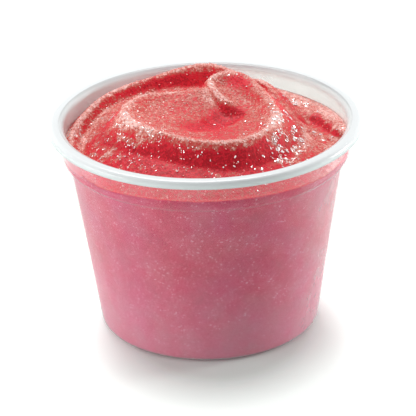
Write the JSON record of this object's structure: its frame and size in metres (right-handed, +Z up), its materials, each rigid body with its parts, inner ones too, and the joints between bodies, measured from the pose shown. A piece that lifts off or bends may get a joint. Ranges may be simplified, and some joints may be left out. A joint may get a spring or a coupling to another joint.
{
  "type": "frozen fruit juice cup",
  "caption": "Open tapered plastic cup with a turned lip, filled with frozen fruit juice piped into a swirl that rises above the lip.",
  "frame": {"origin": "centre of the foot, on the surface that the cup stands on", "axes": "+Z up along the cup's axis; +Y points to the swirl's back, +X to its right"},
  "size_m": [0.074, 0.074, 0.0563],
  "materials": {
    "cup": "thin translucent milky plastic, thermoformed, softly glossy",
    "frozen_filling": "frozen strawberry-red juice, granular, with pale frost on its crests"
  },
  "bodies": {
    "root": {"cup": "cup", "frozen_filling": "frozen_filling"}
  },
  "joints": []
}
